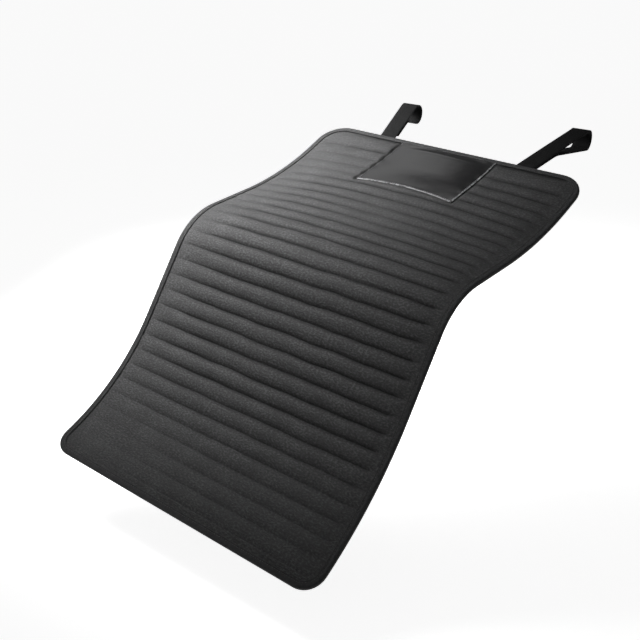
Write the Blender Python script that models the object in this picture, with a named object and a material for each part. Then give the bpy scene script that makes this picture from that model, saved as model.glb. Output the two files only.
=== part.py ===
"""Kayak roof pad: a ribbed mat with a bound edge, hung from a crossbar by two strap loops.

The mat lies over the back of a car. From the crossbar it slopes down to the roof, runs along the roof,
turns down over the rear glass and flattens towards its tail. Lengths are in metres, slopes in degrees
below level. +X runs across the mat, +Z is up, and the mat hangs away from the crossbar towards -Y.
The origin is on the crossbar's axis, in line with the mat's middle. The bar isn't quite square to the
mat: it lies level and turned by a few degrees, so the right strap is closed at a longer reach.

Every piece is laid out flat first, as (u, s, h): u across the mat from its middle line, s down the mat
from its top edge, and h up from the mat's face. drape() then carries each point onto the hung shape.
"""

import math

import bmesh
import bpy
from mathutils import Vector

# Finished size of the mat, measured over the binding
PAD_WIDTH = 0.533
PAD_LENGTH = 0.838
TOP_CORNER_RADIUS = 0.047
BOTTOM_CORNER_RADIUS = 0.034

# Layers of the mat
FACE_THICKNESS = 0.0025
BACKING_THICKNESS = 0.0012
LAYER_GAP = 0.0003

# Ribs that run across the mat, with a groove between each two
RIB_HEIGHT = 0.0035
RIB_PITCH = 0.0273
RIB_ROUNDNESS = 2.2
FIRST_GROOVE = 0.0525
LAST_GROOVE_BORDER = 0.020
RIB_END_MARGIN = 0.019
RIB_END_FADE = 0.012

# Tape folded round the edge of both layers
BINDING_WIDTH = 0.011
BINDING_THICKNESS = 0.0009
BINDING_ROUNDING = 0.0008
BINDING_CLEARANCE = 0.003

# Smooth patch sewn on under the top edge
LABEL_WIDTH = 0.196
LABEL_BOTTOM = 0.150
LABEL_BOW = 0.0085
LABEL_THICKNESS = 0.0012
LABEL_SWELL = 0.0025
LABEL_SQUARENESS = 4.0
LABEL_CLEARANCE = 0.0006
LABEL_MARGIN = 0.0025
LABEL_FADE = 0.006

# Strap loops and the crossbar that they go round
STRAP_SPACING = 0.284
STRAP_WIDTH = 0.032
STRAP_THICKNESS = 0.0015
STRAP_SPLAY = 10.85
STRAP_ROOT_LENGTH = 0.046
STRAP_EXIT = 0.006
CROSSBAR_DIAMETER = 0.032
CROSSBAR_CLEARANCE = 0.0005
CROSSBAR_AHEAD = 0.127
CROSSBAR_RISE = 0.018
CROSSBAR_YAW = 7.9

# Hook-and-loop closure between each strap's run and its tail
CLOSURE_START = 0.010
CLOSURE_LENGTH = 0.044
CLOSURE_SIDE_MARGIN = 0.002
CLOSURE_END_MARGIN = 0.002
PATCH_THICKNESS = 0.0010
TAIL_BEND = 0.006

# Thread bar tacks that hold each strap's root under the mat
TACK_PLACES = {"upper": 0.026, "lower": 0.041}
TACK_LENGTH = 0.026
TACK_WIDTH = 0.0024
TACK_THICKNESS = 0.0008

# Shape that the mat takes over the car: straight runs, and bends between them
LIP_SLOPE = 22.0
ROOF_SLOPE = 3.0
GLASS_SLOPE = 54.0
TAIL_SLOPE = 25.0
LIP_RUN = 0.070
LIP_BEND = 0.185
ROOF_RUN = 0.083
GLASS_BEND = 0.104
GLASS_RUN = 0.125
TAIL_SWEEP = 0.245

# Swell of the mat's middle over the roof, and twist of its tail
SWELL_HEIGHT = 0.0168
SWELL_PEAK = 0.160
SWELL_ABOVE = 0.165
SWELL_BELOW = 0.345
TWIST_START = 0.567
TWIST_HEIGHT = -0.0136

# Finishes, as linear colours with the roughness of each
FACE_FINISH = ((0.045, 0.045, 0.047), 0.75)
BACKING_FINISH = ((0.020, 0.020, 0.021), 0.85)
BINDING_FINISH = ((0.030, 0.030, 0.031), 0.55)
LABEL_FINISH = ((0.018, 0.018, 0.019), 0.30)
WEBBING_FINISH = ((0.014, 0.014, 0.015), 0.60)
LOOP_FINISH = ((0.016, 0.016, 0.017), 0.95)
HOOK_FINISH = ((0.016, 0.016, 0.017), 0.80)
THREAD_FINISH = ((0.050, 0.050, 0.052), 0.60)

# Fineness of the meshes
CORNER_STEPS = 6
RIB_STEPS = 6
LOOP_STEPS = 18
TAIL_BEND_STEPS = 4
CLOSEST_ROWS = 0.0012
SHARP_FROM = 35.0

# Places that follow from the sizes
EDGE_INSET = BINDING_THICKNESS + LAYER_GAP
PAD_UNDERSIDE = -FACE_THICKNESS
BACKING_TOP = PAD_UNDERSIDE - LAYER_GAP
BACKING_UNDERSIDE = BACKING_TOP - BACKING_THICKNESS
BINDING_TOP = LAYER_GAP + BINDING_THICKNESS
BINDING_UNDERSIDE = BACKING_UNDERSIDE - LAYER_GAP - BINDING_THICKNESS
BAND_START = BINDING_WIDTH + BINDING_CLEARANCE
BAND_END = PAD_LENGTH - BAND_START
GROOVE_COUNT = 1 + int((PAD_LENGTH - LAST_GROOVE_BORDER - FIRST_GROOVE) / RIB_PITCH)
GROOVES = [FIRST_GROOVE + RIB_PITCH * number for number in range(GROOVE_COUNT)]
BAND_EDGES = [BAND_START, *GROOVES, BAND_END]
LABEL_TOP = BINDING_WIDTH + LABEL_CLEARANCE
COLUMN_LIMIT = PAD_WIDTH / 2 - max(TOP_CORNER_RADIUS, BOTTOM_CORNER_RADIUS) - RIB_END_FADE
LOOP_RADIUS = CROSSBAR_DIAMETER / 2 + CROSSBAR_CLEARANCE + STRAP_THICKNESS / 2
BAR_WAY = Vector((math.cos(math.radians(CROSSBAR_YAW)), math.sin(math.radians(CROSSBAR_YAW)), 0.0))
BAR_AWAY = Vector((-BAR_WAY.y, BAR_WAY.x, 0.0))
DRAPE = [
    (LIP_RUN, LIP_SLOPE, LIP_SLOPE),
    (LIP_BEND, LIP_SLOPE, ROOF_SLOPE),
    (ROOF_RUN, ROOF_SLOPE, ROOF_SLOPE),
    (GLASS_BEND, ROOF_SLOPE, GLASS_SLOPE),
    (GLASS_RUN, GLASS_SLOPE, GLASS_SLOPE),
    (TAIL_SWEEP, GLASS_SLOPE, TAIL_SLOPE),
    (math.inf, TAIL_SLOPE, TAIL_SLOPE),
]


def clear_scene():
    for old in list(bpy.data.objects):
        bpy.data.objects.remove(old, do_unlink=True)


def ease(share):
    """A smooth rise from 0 to 1."""
    share = min(max(share, 0.0), 1.0)
    return share * share * (3 - 2 * share)


def middle_line(s):
    """Distance back and height of the hung middle line at s, and its slope in radians below level."""
    back = height = 0.0
    left = s
    for length, first, last in DRAPE:
        run = min(left, length)
        start = math.radians(first)
        if first == last:
            back += run * math.cos(start)
            height -= run * math.sin(start)
            slope = start
        else:
            bend = math.radians(last - first) / length
            slope = start + bend * run
            back += (math.sin(slope) - math.sin(start)) / bend
            height -= (math.cos(start) - math.cos(slope)) / bend
        left -= run
        if left <= 0:
            break
    return back, height, slope


def swell(s):
    """How far the mat's middle stands off the middle line's own level at s."""
    reach = SWELL_ABOVE if s < SWELL_PEAK else SWELL_BELOW
    share = min(abs(s - SWELL_PEAK) / reach, 1.0)
    return SWELL_HEIGHT * math.cos(share * math.pi / 2) ** 2


def drape(u, s, h):
    """Carries a point of the flat layout onto the hung mat."""
    back, height, slope = middle_line(s)
    across = 2 * u / PAD_WIDTH
    twist = TWIST_HEIGHT * max((s - TWIST_START) / (PAD_LENGTH - TWIST_START), 0.0) ** 2
    lift = h + swell(s) * (1 - across * across) + twist * across
    y = -CROSSBAR_AHEAD - back - lift * math.sin(slope)
    z = -CROSSBAR_RISE + height + lift * math.cos(slope)
    return Vector((u, y, z))


def half_width(s, inset):
    """Half the width at s of the rounded outline that lies inset from the finished edge."""
    for radius, from_end in ((TOP_CORNER_RADIUS, s), (BOTTOM_CORNER_RADIUS, PAD_LENGTH - s)):
        if from_end < radius:
            reach = (radius - inset) ** 2 - (radius - from_end) ** 2
            return PAD_WIDTH / 2 - radius + math.sqrt(max(reach, 0.0))
    return PAD_WIDTH / 2 - inset


def corner_angles():
    return [math.pi / 2 * step / CORNER_STEPS for step in range(CORNER_STEPS + 1)]


def with_rows(rows, more, closest):
    """Adds to rows each of more that isn't too close to one already there."""
    rows = list(rows)
    for place in more:
        if all(abs(place - other) > closest for other in rows):
            rows.append(place)
    return sorted(rows)


def outline_rows():
    """Rows down the mat that both layers and the binding share: round each corner, and at each groove."""
    top = [TOP_CORNER_RADIUS - (TOP_CORNER_RADIUS - EDGE_INSET) * math.cos(a) for a in corner_angles()]
    bottom = [
        PAD_LENGTH - BOTTOM_CORNER_RADIUS + (BOTTOM_CORNER_RADIUS - EDGE_INSET) * math.cos(a)
        for a in corner_angles()
    ]
    return with_rows(top + bottom, GROOVES, LAYER_GAP)


def rib_rows(rows):
    """The shared rows, with those that round each rib between them."""
    extra = []
    for first, last in zip(BAND_EDGES, BAND_EDGES[1:]):
        extra.append(first)
        for step in range(1, RIB_STEPS):
            share = (1 - math.cos(math.pi * step / RIB_STEPS)) / 2
            extra.append(first + (last - first) * share)
    return with_rows(rows, [*extra, BAND_END], CLOSEST_ROWS)


def label_edge(u):
    """Where the patch's lower edge lies at u: it is bowed towards the top in the middle."""
    return LABEL_BOTTOM - LABEL_BOW * (1 - min(abs(2 * u / LABEL_WIDTH), 1.0) ** 2)


def rib_height(u, s):
    """Height of the ribbed face above the border at u, s."""
    for first, last in zip(BAND_EDGES, BAND_EDGES[1:]):
        if first <= s <= last:
            share = (s - first) / (last - first)
            arch = 1 - abs(2 * share - 1) ** RIB_ROUNDNESS
            crown = RIB_HEIGHT * min((last - first) / RIB_PITCH, 1.0)
            from_side = half_width(s, 0) - abs(u) - RIB_END_MARGIN
            from_label = max(abs(u) - LABEL_WIDTH / 2, s - label_edge(u)) - LABEL_MARGIN
            return crown * arch * ease(from_side / RIB_END_FADE) * ease(from_label / LABEL_FADE)
    return 0.0


def outer_column(s, inset):
    """A column that keeps its inset along the sides and closes up towards the rounded corners."""
    room = PAD_WIDTH / 2 - EDGE_INSET - COLUMN_LIMIT
    share = 1 - (inset - EDGE_INSET) / room
    return COLUMN_LIMIT + (half_width(s, EDGE_INSET) - COLUMN_LIMIT) * share


def layer_columns(s):
    """Columns from side to side that both layers share at s."""
    past_label = (LABEL_WIDTH / 2 + COLUMN_LIMIT) / 2
    half = [LABEL_WIDTH / 2, past_label, COLUMN_LIMIT, half_width(s, EDGE_INSET)]
    return [-u for u in reversed(half)] + [0.0] + half


def rib_columns(s):
    """Columns of the ribbed face from one rib end to the other at s."""
    past_label = LABEL_WIDTH / 2 + LABEL_MARGIN
    past_fade = past_label + LABEL_FADE
    half = [
        LABEL_WIDTH / 4,
        past_label,
        past_fade,
        (past_fade + COLUMN_LIMIT) / 2,
        COLUMN_LIMIT,
        outer_column(s, RIB_END_MARGIN + RIB_END_FADE),
        outer_column(s, RIB_END_MARGIN),
    ]
    return [-u for u in reversed(half)] + [0.0] + half


def finish_mesh(name, bm, finish):
    """Turns a bmesh into a named object with its own material and smooth rounds."""
    bmesh.ops.recalc_face_normals(bm, faces=bm.faces)
    bmesh.ops.triangulate(bm, faces=bm.faces)
    mesh = bpy.data.meshes.new(name)
    bm.to_mesh(mesh)
    bm.free()
    mesh.shade_smooth()
    mesh.set_sharp_from_angle(angle=math.radians(SHARP_FROM))
    colour, roughness = finish
    material = bpy.data.materials.new(name)
    material.use_nodes = True
    shader = material.node_tree.nodes["Principled BSDF"]
    shader.inputs["Base Color"].default_value = (*colour, 1.0)
    shader.inputs["Roughness"].default_value = roughness
    shader.inputs["Metallic"].default_value = 0.0
    mesh.materials.append(material)
    piece = bpy.data.objects.new(name, mesh)
    bpy.context.scene.collection.objects.link(piece)
    return piece


def new_row(bm, flat_points):
    return [bm.verts.new(drape(*point)) for point in flat_points]


def fill_between(bm, rows):
    """Faces between each two neighbouring rows of equal length."""
    for low, high in zip(rows, rows[1:]):
        for near, far, far_high, near_high in zip(low, low[1:], high[1:], high):
            bm.faces.new((near, far, far_high, near_high))


def close_sheet(bm, top, bottom):
    """Walls round a sheet whose upper and lower rows end at the same places."""
    for side in (0, -1):
        for near, far in zip(range(len(top)), range(1, len(top))):
            bm.faces.new((top[near][side], top[far][side], bottom[far][side], bottom[near][side]))
    for end in (0, -1):
        bm.faces.new(top[end] + bottom[end][::-1])


def make_backing_sheet(rows):
    bm = bmesh.new()
    layers = []
    for height in (BACKING_TOP, BACKING_UNDERSIDE):
        layers.append([new_row(bm, [(u, s, height) for u in layer_columns(s)]) for s in rows])
    for layer in layers:
        fill_between(bm, layer)
    close_sheet(bm, *layers)
    return finish_mesh("backing_sheet", bm, BACKING_FINISH)


def make_ribbed_pad(rows):
    """The face: ribs between their ends, a flat border under the binding, and a smooth underside."""
    bm = bmesh.new()
    underside = [new_row(bm, [(u, s, PAD_UNDERSIDE) for u in layer_columns(s)]) for s in rows]
    fill_between(bm, underside)

    fine_rows = rib_rows(rows)
    ribs = [new_row(bm, [(u, s, rib_height(u, s)) for u in rib_columns(s)]) for s in fine_rows]
    fill_between(bm, ribs)

    outer = []
    for s in rows:
        border = outer_column(s, BAND_START)
        edge = half_width(s, EDGE_INSET)
        outer.append(new_row(bm, [(u, s, 0.0) for u in (-edge, -border, border, edge)]))
    rib_at = [fine_rows.index(s) for s in rows]
    for number in range(len(rows) - 1):
        here, below = outer[number], outer[number + 1]
        span = ribs[rib_at[number] : rib_at[number + 1] + 1]
        bm.faces.new((here[0], here[1], below[1], below[0]))
        bm.faces.new((here[2], here[3], below[3], below[2]))
        bm.faces.new([here[1]] + [row[0] for row in span] + [below[1]])
        bm.faces.new([here[2], below[2]] + [row[-1] for row in reversed(span)])

    face = []
    for border, number in zip(outer, rib_at):
        face.append([border[0], border[1], *ribs[number], border[2], border[3]])
    close_sheet(bm, face, underside)
    return finish_mesh("ribbed_pad", bm, FACE_FINISH)


def outline_stations(rows):
    """Places round the finished edge, each with its direction inwards."""
    sides = [s for s in rows if TOP_CORNER_RADIUS < s < PAD_LENGTH - BOTTOM_CORNER_RADIUS]
    across = layer_columns(EDGE_INSET)[1:-1]
    stations = [(u, 0.0, 0.0, 1.0) for u in across]
    stations += corner_stations(TOP_CORNER_RADIUS, TOP_CORNER_RADIUS, 1, -math.pi / 2)
    stations += [(PAD_WIDTH / 2, s, -1.0, 0.0) for s in sides]
    stations += corner_stations(BOTTOM_CORNER_RADIUS, PAD_LENGTH - BOTTOM_CORNER_RADIUS, 1, 0.0)
    stations += [(u, PAD_LENGTH, 0.0, -1.0) for u in reversed(across)]
    stations += corner_stations(BOTTOM_CORNER_RADIUS, PAD_LENGTH - BOTTOM_CORNER_RADIUS, -1, math.pi / 2)
    stations += [(-PAD_WIDTH / 2, s, 1.0, 0.0) for s in reversed(sides)]
    stations += corner_stations(TOP_CORNER_RADIUS, TOP_CORNER_RADIUS, -1, math.pi)
    return stations


def corner_stations(radius, middle_s, side, first_angle):
    """Places round one corner, turning a quarter from first_angle."""
    middle_u = side * (PAD_WIDTH / 2 - radius)
    places = []
    for turned in corner_angles():
        u, s = math.cos(first_angle + turned), math.sin(first_angle + turned)
        places.append((middle_u + radius * u, middle_s + radius * s, -u, -s))
    return places


def make_edge_binding(rows):
    """Tape in a U section that closes on itself round the whole outline."""
    top_in, bottom_in = LAYER_GAP, BACKING_UNDERSIDE - LAYER_GAP
    section = [
        (BINDING_WIDTH, top_in),
        (BINDING_WIDTH, BINDING_TOP),
        (BINDING_ROUNDING, BINDING_TOP),
        (0.0, BINDING_TOP - BINDING_ROUNDING),
        (0.0, BINDING_UNDERSIDE + BINDING_ROUNDING),
        (BINDING_ROUNDING, BINDING_UNDERSIDE),
        (BINDING_WIDTH, BINDING_UNDERSIDE),
        (BINDING_WIDTH, bottom_in),
        (BINDING_THICKNESS, bottom_in),
        (BINDING_THICKNESS, top_in),
    ]
    bm = bmesh.new()
    rings = []
    for u, s, inwards_u, inwards_s in outline_stations(rows):
        flat = [(u + inwards_u * depth, s + inwards_s * depth, height) for depth, height in section]
        ring = new_row(bm, flat)
        rings.append(ring + ring[:1])
    fill_between(bm, rings + rings[:1])
    return finish_mesh("edge_binding", bm, BINDING_FINISH)


def label_columns():
    edge = LABEL_WIDTH / 2
    half = [edge / 2, edge - 2 * LABEL_FADE, edge]
    return [-u for u in reversed(half)] + [0.0] + half


def label_rise(u, s):
    """How far the patch swells at u, s above its own thickness: nothing along its sewn edges."""
    across = abs(2 * u / LABEL_WIDTH)
    down = abs(2 * (s - LABEL_TOP) / (label_edge(u) - LABEL_TOP) - 1)
    return LABEL_SWELL * (1 - across**LABEL_SQUARENESS) * (1 - down**LABEL_SQUARENESS)


def make_label_patch(rows):
    """The smooth patch: thin at its sewn edges and swelled in its middle."""
    last_row = LABEL_BOTTOM - LABEL_BOW - CLOSEST_ROWS
    between = [s for s in rib_rows(rows) if LABEL_TOP + CLOSEST_ROWS < s < last_row]
    bm = bmesh.new()
    top, bottom = [], []
    for place in [LABEL_TOP, *between, None]:
        upper, lower = [], []
        for u in label_columns():
            s = label_edge(u) if place is None else place
            upper.append((u, s, LAYER_GAP + LABEL_THICKNESS + label_rise(u, s)))
            lower.append((u, s, LAYER_GAP))
        top.append(new_row(bm, upper))
        bottom.append(new_row(bm, lower))
    fill_between(bm, top)
    fill_between(bm, bottom)
    close_sheet(bm, top, bottom)
    return finish_mesh("label_patch", bm, LABEL_FINISH)


def make_ribbon(name, rows, width, thickness, finish):
    """A flat band with square edges. Each row is its middle, the way across and the way up."""
    bm = bmesh.new()
    rings = []
    for middle, across, up in rows:
        side, rise = across * width / 2, up * thickness / 2
        corners = (middle - side + rise, middle + side + rise, middle + side - rise, middle - side - rise)
        ring = [bm.verts.new(corner) for corner in corners]
        rings.append(ring + ring[:1])
    fill_between(bm, rings)
    bm.faces.new(rings[0][:-1])
    bm.faces.new(rings[-1][:-1])
    return finish_mesh(name, bm, finish)


def root_row(side, s, h):
    """A row of the strap's root under the mat, square to the strap's own splayed direction."""
    lean = side * math.tan(math.radians(STRAP_SPLAY))
    u = side * STRAP_SPACING / 2 - lean * s
    step = STRAP_WIDTH / 2 / math.hypot(1.0, lean)
    ends = [drape(u + way * step, s + way * step * lean, h) for way in (-1, 1)]
    across = (ends[1] - ends[0]).normalized()
    slope = middle_line(s)[2]
    up = Vector((0.0, -math.sin(slope), math.cos(slope)))
    return (ends[0] + ends[1]) / 2, across, up


def strap_heights():
    """Middle heights of a strap's root, against the backing and where it passes under the binding."""
    inside = BACKING_UNDERSIDE - LAYER_GAP - STRAP_THICKNESS / 2
    outside = BINDING_UNDERSIDE - LAYER_GAP - STRAP_THICKNESS / 2
    return inside, outside


def seen_from_bar(point):
    """Angle and distance of a point from the crossbar's axis."""
    back = point.dot(BAR_AWAY)
    return math.atan2(point.z, back) % math.tau, math.hypot(back, point.z)


def run_of_strap(side):
    """The straight run from the mat to the crossbar: its two ends, the way across, and its last angle."""
    start, across, _ = root_row(side, -STRAP_EXIT, strap_heights()[1])
    angle, away = seen_from_bar(start)
    leaves = angle - math.acos(LOOP_RADIUS / away)
    splay = math.radians(STRAP_SPLAY)
    heading = Vector((side * math.sin(splay), math.cos(splay), 0.0))
    reach = (LOOP_RADIUS * math.cos(leaves) - start.dot(BAR_AWAY)) / heading.dot(BAR_AWAY)
    end = start + heading * reach
    end.z = LOOP_RADIUS * math.sin(leaves)
    return start, end, across, leaves


def run_row(side, along, below):
    """A row at a distance along the straight run, set a distance below its middle plane."""
    start, end, across, _ = run_of_strap(side)
    way = end - start
    across = across.lerp(BAR_WAY, along / way.length).normalized()
    up = across.cross(way).normalized()
    return start + way.normalized() * along - up * below, across, up


def tail_drop():
    """How far the tail's middle lies below the run's, with both patches between them."""
    return STRAP_THICKNESS + 2 * PATCH_THICKNESS + 3 * LAYER_GAP


def make_strap(side, name):
    """One length of webbing: sewn root, run to the crossbar, loop round it, and tail back to the run."""
    inside, outside = strap_heights()
    past_binding = BINDING_WIDTH + BINDING_CLEARANCE
    rows = [
        root_row(side, STRAP_ROOT_LENGTH, inside),
        root_row(side, past_binding + BINDING_CLEARANCE, inside),
        root_row(side, past_binding, outside),
        root_row(side, 0.0, outside),
    ]
    closed_to = CLOSURE_START + CLOSURE_LENGTH
    closed_half = CLOSURE_START + CLOSURE_LENGTH / 2
    rows += [run_row(side, along, 0.0) for along in (0.0, CLOSURE_START, closed_half, closed_to)]

    turn, turn_across, _ = run_row(side, closed_to + TAIL_BEND, tail_drop())
    angle, away = seen_from_bar(turn)
    _, end, _, leaves = run_of_strap(side)
    returns = angle + math.acos(LOOP_RADIUS / away) - math.tau
    centre = BAR_WAY * end.dot(BAR_WAY)
    for step in range(LOOP_STEPS + 1):
        around = leaves + (returns - leaves) * step / LOOP_STEPS
        outwards = BAR_AWAY * math.cos(around) + Vector((0.0, 0.0, math.sin(around)))
        rows.append((centre + outwards * LOOP_RADIUS, BAR_WAY, outwards))

    back_way = (rows[-1][0] - turn).normalized()
    closing = run_row(side, closed_to, tail_drop())[0]
    for step in range(TAIL_BEND_STEPS):
        share = step / TAIL_BEND_STEPS
        first = (turn + back_way * TAIL_BEND).lerp(turn, share)
        last = turn.lerp(closing, share)
        across = BAR_WAY.lerp(turn_across, (1 + share) / 2).normalized()
        rows.append((first.lerp(last, share), across, across.cross(last - first).normalized()))
    for along in (closed_to, closed_half, CLOSURE_START):
        middle, across, up = run_row(side, along, tail_drop())
        rows.append((middle, across, -up))
    return make_ribbon(name, rows, STRAP_WIDTH, STRAP_THICKNESS, WEBBING_FINISH)


def make_closure_patch(side, name, below, finish):
    """One half of the hook-and-loop closure, sewn to the run or to the tail."""
    first = CLOSURE_START + CLOSURE_END_MARGIN
    last = CLOSURE_START + CLOSURE_LENGTH - CLOSURE_END_MARGIN
    rows = [run_row(side, along, below) for along in (first, (first + last) / 2, last)]
    return make_ribbon(name, rows, STRAP_WIDTH - 2 * CLOSURE_SIDE_MARGIN, PATCH_THICKNESS, finish)


def make_tack(side, name, place):
    """A dense bar of thread across the strap's root, on its underside."""
    height = strap_heights()[0] - STRAP_THICKNESS / 2 - LAYER_GAP - TACK_THICKNESS / 2
    rows = [root_row(side, place + TACK_WIDTH / 2, height), root_row(side, place - TACK_WIDTH / 2, height)]
    return make_ribbon(name, rows, TACK_LENGTH, TACK_THICKNESS, THREAD_FINISH)


def make_straps():
    loop_below = STRAP_THICKNESS / 2 + LAYER_GAP + PATCH_THICKNESS / 2
    hook_below = loop_below + PATCH_THICKNESS + LAYER_GAP
    for side, word in ((-1, "left"), (1, "right")):
        make_strap(side, f"strap_{word}")
        make_closure_patch(side, f"loop_patch_{word}", loop_below, LOOP_FINISH)
        make_closure_patch(side, f"hook_patch_{word}", hook_below, HOOK_FINISH)
        for which, place in TACK_PLACES.items():
            make_tack(side, f"bar_tack_{word}_{which}", place)


clear_scene()
shared_rows = outline_rows()
make_backing_sheet(shared_rows)
make_ribbed_pad(shared_rows)
make_edge_binding(shared_rows)
make_label_patch(shared_rows)
make_straps()
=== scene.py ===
import math

import bmesh
import bpy
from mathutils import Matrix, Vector, noise


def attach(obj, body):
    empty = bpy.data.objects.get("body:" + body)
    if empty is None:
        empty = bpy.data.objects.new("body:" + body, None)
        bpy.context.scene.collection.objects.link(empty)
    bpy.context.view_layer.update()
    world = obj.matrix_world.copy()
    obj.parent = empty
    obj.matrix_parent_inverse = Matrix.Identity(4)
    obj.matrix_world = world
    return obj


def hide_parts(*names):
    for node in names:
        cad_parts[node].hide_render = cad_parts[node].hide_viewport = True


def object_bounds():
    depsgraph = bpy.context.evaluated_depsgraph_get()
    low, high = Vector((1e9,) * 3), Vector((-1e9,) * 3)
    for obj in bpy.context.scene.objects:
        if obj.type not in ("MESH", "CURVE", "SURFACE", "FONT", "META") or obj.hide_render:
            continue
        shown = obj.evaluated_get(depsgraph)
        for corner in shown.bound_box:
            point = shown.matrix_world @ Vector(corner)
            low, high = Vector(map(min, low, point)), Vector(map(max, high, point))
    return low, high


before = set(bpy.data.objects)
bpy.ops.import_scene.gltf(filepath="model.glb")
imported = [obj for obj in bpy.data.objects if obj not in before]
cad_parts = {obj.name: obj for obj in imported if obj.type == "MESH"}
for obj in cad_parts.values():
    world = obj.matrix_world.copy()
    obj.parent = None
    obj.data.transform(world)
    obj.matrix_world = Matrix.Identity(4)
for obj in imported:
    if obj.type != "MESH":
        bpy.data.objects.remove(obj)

cad_low, cad_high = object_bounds()

# Backing sheet: the underside of the mat, cut with rounded corners from rubberised non-slip cloth. All
# the other pieces are sewn to it, and it hangs with them from its two straps. Every piece is cut flat,
# with x across the mat, y = -s down it and z up from its face, and is then hung with hang().
PAD_WIDTH = 0.533
PAD_LENGTH = 0.838
TOP_CORNER_RADIUS = 0.047
BOTTOM_CORNER_RADIUS = 0.034
CORNER_STEPS = 10
FACE_THICKNESS = 0.0025
LAYER_GAP = 0.0003
BACKING_THICKNESS = 0.0012
BACKING_ROW = 0.0095
BACKING_COLUMN = 0.024
TAPE_THICKNESS = 0.0009
EDGE_INSET = TAPE_THICKNESS + LAYER_GAP
BACKING_TOP = -FACE_THICKNESS - LAYER_GAP

CROSSBAR_AHEAD = 0.127
CROSSBAR_RISE = 0.018
HUNG_RUNS = [
    (0.070, 22.0, 22.0),
    (0.185, 22.0, 3.0),
    (0.083, 3.0, 3.0),
    (0.104, 3.0, 54.0),
    (0.125, 54.0, 54.0),
    (0.245, 54.0, 25.0),
    (math.inf, 25.0, 25.0),
]
SWELL_HEIGHT = 0.0168
SWELL_PEAK = 0.160
SWELL_ABOVE = 0.165
SWELL_BELOW = 0.345
TWIST_START = 0.567
TWIST_HEIGHT = -0.0136

RUBBER_COLOUR = (0.014, 0.014, 0.0146)
RUBBER_WORN = (0.024, 0.024, 0.0248)
RUBBER_THREAD = 0.0021


def take_up(piece):
    """Makes this piece the only one in hand."""
    bpy.ops.object.select_all(action="DESELECT")
    piece.select_set(True)
    bpy.context.view_layer.objects.active = piece


def pick_vertices(piece, wanted):
    """In edit mode, selects the vertices whose place passes the test, and nothing else."""
    bpy.ops.mesh.select_mode(type="VERT")
    bpy.ops.mesh.select_all(action="DESELECT")
    shape = bmesh.from_edit_mesh(piece.data)
    for vertex in shape.verts:
        vertex.select_set(wanted(vertex.co))
    shape.select_flush_mode()
    bmesh.update_edit_mesh(piece.data)


def apply_modifiers(piece):
    """Makes all that a piece's modifiers do to it part of its mesh."""
    take_up(piece)
    for modifier in list(piece.modifiers):
        bpy.ops.object.modifier_apply(modifier=modifier.name)


def cut_strip(name, width, first, last):
    """A flat rectangle of this width, from first to last down the mat."""
    bpy.ops.object.select_all(action="DESELECT")
    bpy.ops.mesh.primitive_plane_add(size=1, calc_uvs=False, location=(0, -(first + last) / 2, 0))
    strip = bpy.context.object
    strip.name = name
    bpy.ops.transform.resize(value=(width, last - first, 1))
    bpy.ops.object.transform_apply(location=True, rotation=False, scale=True)
    return strip


def cut_sheet(name, inset):
    """A flat sheet with the mat's rounded outline, drawn in from the finished edge by inset."""
    sheet = cut_strip(name, PAD_WIDTH - 2 * inset, inset, PAD_LENGTH - inset)
    bpy.ops.object.mode_set(mode="EDIT")
    for end, radius in ((-inset, TOP_CORNER_RADIUS), (inset - PAD_LENGTH, BOTTOM_CORNER_RADIUS)):
        pick_vertices(sheet, lambda at: abs(at.y - end) < LAYER_GAP)
        bpy.ops.mesh.bevel(offset=radius - inset, segments=CORNER_STEPS, affect="VERTICES")
    bpy.ops.object.mode_set(mode="OBJECT")
    return sheet


def steps_between(first, last, step):
    """Evenly spaced places inside first to last, no further apart than step."""
    count = math.ceil((last - first) / step)
    return [first + (last - first) * number / count for number in range(1, count)]


def pick_all():
    """In edit mode, selects the whole piece."""
    bpy.ops.mesh.select_all(action="SELECT")


def cut_through(rows, columns, pick=pick_all):
    """In edit mode, cuts what pick selects along rows across the mat and columns down it."""
    cuts = [((0, -s, 0), (0, 1, 0)) for s in rows] + [((u, 0, 0), (1, 0, 0)) for u in columns]
    for place, square_to in cuts:
        pick()
        bpy.ops.mesh.bisect(plane_co=place, plane_no=square_to)


def ease(share):
    """A smooth rise from 0 to 1."""
    share = min(max(share, 0.0), 1.0)
    return share * share * (3 - 2 * share)


def middle_line(s):
    """Distance back and height of the hung middle line at s, and its slope in radians below level."""
    back = height = 0.0
    left = s
    for length, first, last in HUNG_RUNS:
        run = min(left, length)
        start = math.radians(first)
        if first == last:
            back += run * math.cos(start)
            height -= run * math.sin(start)
            slope = start
        else:
            bend = math.radians(last - first) / length
            slope = start + bend * run
            back += (math.sin(slope) - math.sin(start)) / bend
            height -= (math.cos(start) - math.cos(slope)) / bend
        left -= run
        if left <= 0:
            break
    return back, height, slope


def hung(u, s, h):
    """Where a point of the flat layout lies once the mat hangs."""
    back, height, slope = middle_line(s)
    reach = SWELL_ABOVE if s < SWELL_PEAK else SWELL_BELOW
    swell = SWELL_HEIGHT * math.cos(min(abs(s - SWELL_PEAK) / reach, 1.0) * math.pi / 2) ** 2
    across = 2 * u / PAD_WIDTH
    twist = TWIST_HEIGHT * max((s - TWIST_START) / (PAD_LENGTH - TWIST_START), 0.0) ** 2
    lift = h + swell * (1 - across * across) + twist * across
    y = -CROSSBAR_AHEAD - back - lift * math.sin(slope)
    return Vector((u, y, -CROSSBAR_RISE + height + lift * math.cos(slope)))


def keep_layout(piece):
    """Keeps the flat layout, in metres, as a UV map that the cloths' patterns follow."""
    mesh = piece.data
    layout = mesh.uv_layers.new(name="layout")
    for loop in mesh.loops:
        at = mesh.vertices[loop.vertex_index].co
        layout.data[loop.index].uv = (at.x, -at.y)


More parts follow.
